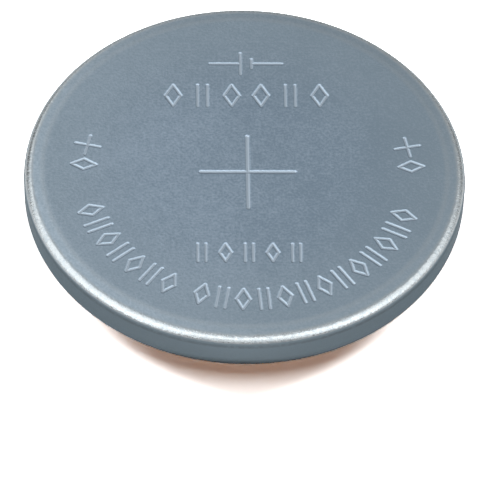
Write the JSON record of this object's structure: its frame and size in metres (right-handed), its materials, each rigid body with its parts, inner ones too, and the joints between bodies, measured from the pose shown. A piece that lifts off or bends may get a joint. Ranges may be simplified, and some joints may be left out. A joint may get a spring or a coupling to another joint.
{
  "type": "lithium coin cell",
  "caption": "Round sealed lithium coin cell: a drawn steel can crimped over a gasket and a raised cap, with a stamped polarity cross on its flat positive face.",
  "frame": {"origin": "centre of the negative face, on the cell's axis, in the plane that the cell rests on", "axes": "+Z along the cell's axis, out of the positive face; the stamped marks read along +X with their tops toward +Y"},
  "size_m": [0.0125, 0.0124, 0.002],
  "materials": {
    "nickel_can": "matt nickel plate on steel, with a brighter worn shoulder",
    "nickel_cap": "satin nickel plate on steel",
    "gasket_polymer": "moulded polypropylene with a dark sealant film",
    "collector_steel": "bare stainless steel foil",
    "cathode_mix": "pressed black oxide powder",
    "separator_felt": "thin non-woven felt",
    "lithium_alloy": "dull rolled lithium alloy"
  },
  "bodies": {
    "root": {"positive_can": "nickel_can", "cathode_collector": "collector_steel", "cathode_pellet": "cathode_mix", "separator": "separator_felt", "anode_disc": "lithium_alloy", "gasket": "gasket_polymer", "negative_cap": "nickel_cap"}
  },
  "joints": []
}
